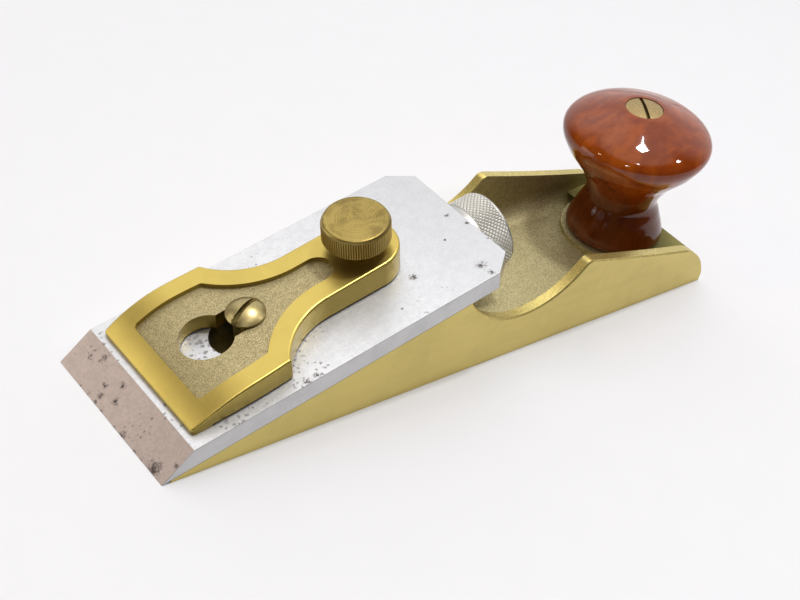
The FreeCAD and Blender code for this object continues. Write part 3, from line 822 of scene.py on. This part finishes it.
class PLANE_OT_thumbscrew(bpy.types.Operator):
    """Straight-knurled thumbscrew with a plain shank, left unthreaded"""
    bl_idname = "plane.thumbscrew"
    bl_label = "Thumbscrew"

    def execute(self, context):
        sizes, tints = settings(context)
        low, high = local_box("lever_cap_thumbscrew", THUMB)
        radius = high.y
        shank = max(p.xy.length for p in local_points("lever_cap_thumbscrew", THUMB)
                    if p.z < low.z + 1.0 * MM)
        under = high.z - sizes.thumb_head
        root = radius - sizes.thumb_tooth

        def tooth(step):
            return radius if step % 2 else root

        rings = [(low.z, 0.8 * shank), (low.z + 0.4 * MM, shank), (under - 0.3 * MM, shank),
                 (under, shank + 0.25 * MM), (under, root - 0.55 * MM),
                 (under + 0.2 * MM, root - 0.12 * MM), (under + 0.4 * MM, root),
                 (under + 0.55 * MM, tooth)]
        crown_tall = 0.75 * MM
        crown = high.z - crown_tall
        fall = 0.16 * MM                  # the top is this much lower at its edge
        rings += [(crown - 0.2 * MM, tooth), (crown, root + 0.04 * MM)]
        for number in range(1, 6):
            turn = math.radians(18 * number)
            rings.append((crown + (crown_tall - fall) * math.sin(turn),
                          root - 0.55 * MM * (1 - math.cos(turn))))
        flat = rings[-1][1]
        for share in (0.95, 0.85, 0.7, 0.55, 0.4, 0.2, 0.04):
            rings.append((high.z - fall * share ** 2, flat * share))
        bm = lathe(rings, 2 * sizes.thumb_teeth, THUMB)[0]
        thumb = new_piece("thumbscrew", bm, "thumbscrew", "thumbscrew_brass",
                          "lever_cap_thumbscrew")
        face_brass = turned_metal("aged_brass", scaled(tints.brass, 1.25),
                                  scaled(tints.brass, 0.7), 0.3, THUMB, 3500.0)
        side_brass = knurled_metal("knurled_brass", scaled(tints.brass, 1.7),
                                   scaled(tints.brass, 0.6), 0.4, THUMB, root, radius)
        inverse = THUMB.inverted()

        def choose(centre, normal):
            place = inverse @ centre
            return 1 if under - 0.1 * MM < place.z < crown and place.xy.length > shank else 0

        paint_faces(thumb, [face_brass, side_brass], choose)
        smooth(thumb, 28)
        return {"FINISHED"}


class PLANE_OT_adjuster(bpy.types.Operator):
    """Knurled adjuster wheel with its neck and flange, and its threaded stud"""
    bl_idname = "plane.adjuster"
    bl_label = "Adjuster"

    def execute(self, context):
        sizes, tints = settings(context)
        points = local_points("adjuster_wheel", ADJUSTER)
        low, high = local_box("adjuster_wheel", ADJUSTER)
        radius = high.y
        bore = min(p.xy.length for p in points)
        rim_low = min(p.z for p in points if p.xy.length > 0.9 * radius) - 0.6 * MM
        flange = max(p.xy.length for p in points if p.z < low.z + 0.5 * MM)
        flange_top = max(p.z for p in points if abs(p.xy.length - flange) < NEAR
                         and p.z < rim_low)
        neck = min(p.xy.length for p in points if low.z + 0.1 * MM < p.z < rim_low
                   and p.xy.length > 1.2 * bore)
        root = radius - sizes.wheel_tooth
        start = rim_low + sizes.wheel_front + 0.6 * MM
        end = high.z - sizes.wheel_land - 0.3 * MM
        rows_of_steps = 4 * sizes.wheel_rows
        rise = (0.0, 0.8, 1.0, 0.8)       # across one diamond, from groove to groove

        def diamond(row):
            return lambda step: root + (radius - root) * min(rise[(step + row) % 4],
                                                             rise[(step - row) % 4])

        c = 0.3 * MM                      # a chamfer, and the measure of the small radii
        rings = [(low.z + c, bore), (low.z, bore + c), (low.z, flange - c), (low.z + c, flange),
                 (flange_top - c, flange), (flange_top, flange - c), (flange_top, neck + c),
                 (flange_top + c, neck), (rim_low - 2 * c, neck), (rim_low, neck + 2 * c),
                 (rim_low, root - 2 * c), (rim_low + 0.7 * c, root - 0.7 * c),
                 (rim_low + 2 * c, root), (start - 0.12 * MM, root)]
        first_row = len(rings)
        for row in range(rows_of_steps + 1):
            rings.append((start + (end - start) * row / rows_of_steps, diamond(row)))
        last_row = len(rings)
        rings += [(end + 0.12 * MM, root), (high.z - 2 * c, root),
                  (high.z - 0.6 * c, root - 0.5 * c), (high.z, root - 2 * c),
                  (high.z, bore + 2 * c), (high.z - 2 * c, bore)]
        bm, rows = lathe(rings, 4 * sizes.wheel_diamonds, ADJUSTER)
        split_diamonds(bm, rows[first_row:last_row], ADJUSTER, root)
        close_bore(bm)
        wheel = new_piece("adjuster_knurled_wheel", bm, "adjuster", "wheel_steel",
                          "adjuster_wheel")
        # The plain bands are a darker copy of the wheel's steel than its knurl: painted shade, so
        # they reflect less of the bright room.
        plain_shaded = turned_metal("bright_steel", scaled(tints.bright, 0.72),
                             scaled(tints.bright, 0.5), 0.38, ADJUSTER)
        knurl = knurled_metal("knurled_steel", scaled(tints.bright, 1.15),
                              scaled(tints.bright, 0.62), 0.46, ADJUSTER, root, radius)
        inverse = ADJUSTER.inverted()

        def choose(centre, normal):
            place = inverse @ centre
            knurled = start - 0.13 * MM < place.z < end + 0.13 * MM
            return 1 if knurled and place.xy.length > root - NEAR else 0

        paint_faces(wheel, [plain_shaded, knurl], choose)
        smooth(wheel, 20)
        self.stud(sizes, tints)
        return {"FINISHED"}

    def stud(self, sizes, tints):
        """Threaded rod along the adjuster's axis."""
        low, high = local_box("adjuster_stud", ADJUSTER)
        bm = threaded_rod(low.z, high.z, high.y, sizes.thread_pitch, sizes.thread_depth, ADJUSTER)
        stud = new_piece("adjuster_threaded_stud", bm, "plane", "stud_steel", "adjuster_stud")
        stud.data.materials.append(turned_metal("stud_steel", (0.5, 0.49, 0.47),
                                                (0.25, 0.23, 0.2), 0.3, ADJUSTER))
        smooth(stud, 25)


def split_diamonds(bm, rows, matrix, root):
    """Cuts each square of the knurl from groove to groove, which leaves small pyramids."""
    inverse = matrix.inverted()
    knurl = {vert for row in rows for vert in row}
    quads = [f for f in bm.faces if len(f.verts) == 4 and all(v in knurl for v in f.verts)]
    for face in quads:
        low = [v for v in face.verts if (inverse @ v.co).xy.length < root + 0.01 * MM]
        if len(low) == 2:
            bmesh.utils.face_split(face, low[0], low[1])


def close_bore(bm):
    """Removes the end discs of a lathed shape and joins its two end rings as a bore."""
    discs = [f for f in bm.faces if len(f.verts) > 4]
    bmesh.ops.delete(bm, geom=discs, context="FACES_ONLY")
    loops = [e for e in bm.edges if e.is_boundary]
    bmesh.ops.bridge_loops(bm, edges=loops)
    bmesh.ops.recalc_face_normals(bm, faces=bm.faces)


def threaded_rod(low, high, radius, pitch, depth, matrix):
    """Rod with a helical V thread and chamfered ends."""
    steps = 32                # round the rod
    levels = round((high - low) / pitch * 6)

    def thread(height):
        def wide(step):
            phase = (height / pitch - step / steps) % 1.0
            cut = depth * abs(2 * phase - 1)
            taper = max(0.0, 1.0 - min(height - low, high - height) / depth) * depth
            return radius - max(cut, taper)
        return wide

    heights = [low + (high - low) * number / levels for number in range(levels + 1)]
    return lathe([(height, thread(height)) for height in heights], steps, matrix)[0]


class PLANE_OT_knob(bpy.types.Operator):
    """Varnished knob, its nut and its stud"""
    bl_idname = "plane.knob"
    bl_label = "Knob"

    def execute(self, context):
        sizes, tints = settings(context)
        curve = smooth_curve([Vector((radius, height, 0)) for height, radius in KNOB_PROFILE], 7)
        rings = [(0.0, KNOB_FOOT * MM)]
        rings += [(p.y * MM, p.x * MM) for p in curve]
        nut_low, nut_high = local_box("knob_nut", KNOB)
        nut = nut_high.y
        rings += [(rings[-1][0] - NUT_SINK, nut + NEAR)]
        bm = lathe(rings, 128, KNOB)[0]
        knob = new_piece("cherry_knob", bm, "plane", "knob_wood", "knob")
        knob.data.materials.append(knob_material(tints.wood, tints.heart))
        smooth(knob, 40)
        steel = ground_metal("knob_stud_steel", (0.5, 0.49, 0.47), (0.3, 0.28, 0.25), 0.35)
        for slot in frame["nodes"]["knob_stud"].material_slots:
            slot.material = steel
        self.nut(sizes, tints, nut, nut_low.z, nut_high.z)
        return {"FINISHED"}

    def nut(self, sizes, tints, radius, low, high):
        """Slotted nut let into the crown of the knob."""
        floor = high - sizes.nut_slot_deep
        rings = [(low, radius - 0.2 * MM), (low + 0.2 * MM, radius)]
        rings += dome(radius, high - 0.5 * MM, high, 8)
        bm = lathe(rings, 96, KNOB)[0]
        cut_slot(bm, KNOB, NUT_SLOT_TURN, sizes.nut_slot_wide, floor)
        nut = new_piece("knob_slotted_nut", bm, "plane", "nut_brass", "knob_nut")
        dull = cast_metal("dull_brass", tints.nut, scaled(tints.nut, 0.75), 0.42,
                          scale=2200.0, depth=0.012 * MM)
        paint_slotted(nut, dull, tints.nut, KNOB, NUT_SLOT_TURN, sizes.nut_slot_wide, floor)
        soften(nut, sizes.screw_break)


class PLANE_OT_stage(bpy.types.Operator):
    """White floor, studio light and camera"""
    bl_idname = "plane.stage"
    bl_label = "Stage"

    def execute(self, context):
        scene = context.scene
        scene.view_settings.view_transform = "Standard"
        make_floor()
        make_lights(scene)
        make_camera(scene)
        return {"FINISHED"}


def make_floor():
    bm = bmesh.new()
    bmesh.ops.create_grid(bm, x_segments=1, y_segments=1, size=3.0)
    mesh = bpy.data.meshes.new("floor")
    bm.to_mesh(mesh)
    bm.free()
    floor = bpy.data.objects.new("floor", mesh)
    bpy.context.scene.collection.objects.link(floor)
    material, g, shader, place = start_material("white_floor")
    paper = g.noise(place, 90.0, 3.0)["Fac"]
    finish(g, shader, g.mix(paper, (0.80, 0.80, 0.82), (0.82, 0.82, 0.84)), 0.6, 0.0)
    mesh.materials.append(material)


# Small lamps round the plane: azimuth and elevation from its middle in degrees, distance and
# width in metres, strength in watts, and colour.
LAMPS = (
    ("overhead", 0.0, 82.0, 1.1, 0.13, 5.6, (0.97, 0.98, 1.0)),
    ("front_left", -128.0, 62.0, 1.2, 0.06, 0.5, (1.0, 1.0, 1.0)),
    ("front_low", -148.0, 43.0, 1.2, 0.07, 0.6, (1.0, 1.0, 1.0)),
    ("front_right", -42.0, 51.0, 1.2, 0.09, 1.1, (1.0, 0.99, 0.96)),
    ("left", 160.0, 41.0, 1.2, 0.08, 0.5, (1.0, 0.75, 0.45)),
    ("toe_card", 146.0, 13.0, 0.26, 0.13, 0.085, (1.0, 0.97, 0.94)),
)


def direction(azimuth, elevation):
    """Unit vector from an azimuth and an elevation in degrees."""
    around, up = math.radians(azimuth), math.radians(elevation)
    return Vector((math.cos(up) * math.cos(around), math.cos(up) * math.sin(around),
                   math.sin(up)))


def make_lights(scene):
    middle_of_plane = Vector((0, 0, 20 * MM))
    for name, azimuth, elevation, distance, width, power, tint in LAMPS:
        light = bpy.data.lights.new(name, "AREA")
        light.size = width
        light.energy = power
        light.color = tint
        lamp = bpy.data.objects.new(name, light)
        away = direction(azimuth, elevation)
        lamp.location = middle_of_plane + distance * away
        lamp.rotation_euler = away.to_track_quat("Z", "Y").to_euler()
        lamp.visible_camera = False
        lamp.visible_diffuse = name != "toe_card"
        scene.collection.objects.link(lamp)
    scene.world = studio_world()


# Brightness of the room: the ceiling, the sweep behind the plane, the walls in front of it, the
# window, and the sweep as the camera sees it.
CEILING, SWEEP, ROOM, WINDOW, BACKDROP = 1.05, 0.95, 0.07, 0.5, 0.85


def studio_world():
    """White sweep behind the plane, a bright ceiling and a window, and a dark room in front."""
    world = bpy.data.worlds.new("studio")
    world.use_nodes = True
    g = Graph(world.node_tree)
    back = world.node_tree.nodes["Background"]
    look = g.add("TexCoord").outputs["Generated"]

    def towards(way, aim, low, high):
        """From 0 at one angle off the aim, in degrees, to 1 at a smaller one."""
        dot = g.vector("DOT_PRODUCT", way, aim)["Value"]
        return g.ramp(dot, math.cos(math.radians(low)), math.cos(math.radians(high)))

    overhead = g.ramp(g.vector("DOT_PRODUCT", look, direction(0, 90))["Value"], 0.78, 0.93)
    flat = g.vector("NORMALIZE", g.vector("MULTIPLY", look, (1, 1, 0))[0])[0]
    behind = towards(flat, direction(38, 0), 82, 38)
    window = towards(look, direction(98, 52), 30, 8)
    level = g.math("MAXIMUM", g.math("MULTIPLY", overhead, CEILING),
                   g.math("MULTIPLY", behind, SWEEP))
    level = g.sum(window, WINDOW, g.math("MAXIMUM", level, ROOM))
    g.put(back.inputs["Color"], g.mix(behind, (1.0, 0.93, 0.86), (0.97, 0.98, 1.0)))
    seen = g.add("LightPath").outputs["Is Camera Ray"]
    g.put(back.inputs["Strength"], g.blend(seen, level, BACKDROP))
    return world


CAMERA_TARGET = Vector((-11.75, -4.7, 12.0)) * MM
CAMERA_DISTANCE = 316.0 * MM
CAMERA_HEADING = 42.9      # degrees from +X towards +Y
CAMERA_ELEVATION = 36.0    # degrees above the floor
CAMERA_ROLL = 13.9         # degrees about the line of sight
CAMERA_LENS = 62.74        # millimetres on a 36 mm sensor


def make_camera(scene):
    camera = bpy.data.cameras.new("camera")
    camera.lens = CAMERA_LENS
    camera.sensor_width = 36.0
    camera.clip_start = 0.01
    eye = bpy.data.objects.new("camera", camera)
    look = direction(CAMERA_HEADING, -CAMERA_ELEVATION)
    turn = look.to_track_quat("-Z", "Y").to_matrix().to_4x4()
    roll = Matrix.Rotation(math.radians(CAMERA_ROLL), 4, "Z")
    eye.matrix_world = Matrix.Translation(CAMERA_TARGET - look * CAMERA_DISTANCE) @ turn @ roll
    scene.collection.objects.link(eye)
    scene.camera = eye


# ---- the panel and the run ----

class PLANE_PT_panel(bpy.types.Panel):
    """Lists the pieces and their sizes and colours"""
    bl_label = "Chisel plane"
    bl_idname = "PLANE_PT_panel"
    bl_space_type = "VIEW_3D"
    bl_region_type = "UI"
    bl_category = "Plane"

    def draw(self, context):
        for operator in PIECES:
            self.layout.operator(operator.bl_idname)
        for group in settings(context):
            for key in group.__annotations__:
                self.layout.prop(group, key)


PIECES = (PLANE_OT_stage, PLANE_OT_body, PLANE_OT_blade, PLANE_OT_lever_cap, PLANE_OT_cap_screw,
          PLANE_OT_thumbscrew, PLANE_OT_adjuster, PLANE_OT_knob)
CLASSES = (PLANE_PG_sizes, PLANE_PG_colours, *PIECES, PLANE_PT_panel)


def register():
    for item in CLASSES:
        bpy.utils.register_class(item)
    bpy.types.Scene.plane_sizes = PointerProperty(type=PLANE_PG_sizes)
    bpy.types.Scene.plane_colours = PointerProperty(type=PLANE_PG_colours)


def unregister():
    del bpy.types.Scene.plane_sizes
    del bpy.types.Scene.plane_colours
    for item in reversed(CLASSES):
        bpy.utils.unregister_class(item)


def main():
    register()
    bpy.ops.plane.stage()
    bpy.ops.plane.body()
    bpy.ops.plane.blade()
    bpy.ops.plane.lever_cap()
    bpy.ops.plane.cap_screw()
    bpy.ops.plane.thumbscrew()
    bpy.ops.plane.adjuster()
    bpy.ops.plane.knob()


if __name__ == "__main__":
    main()
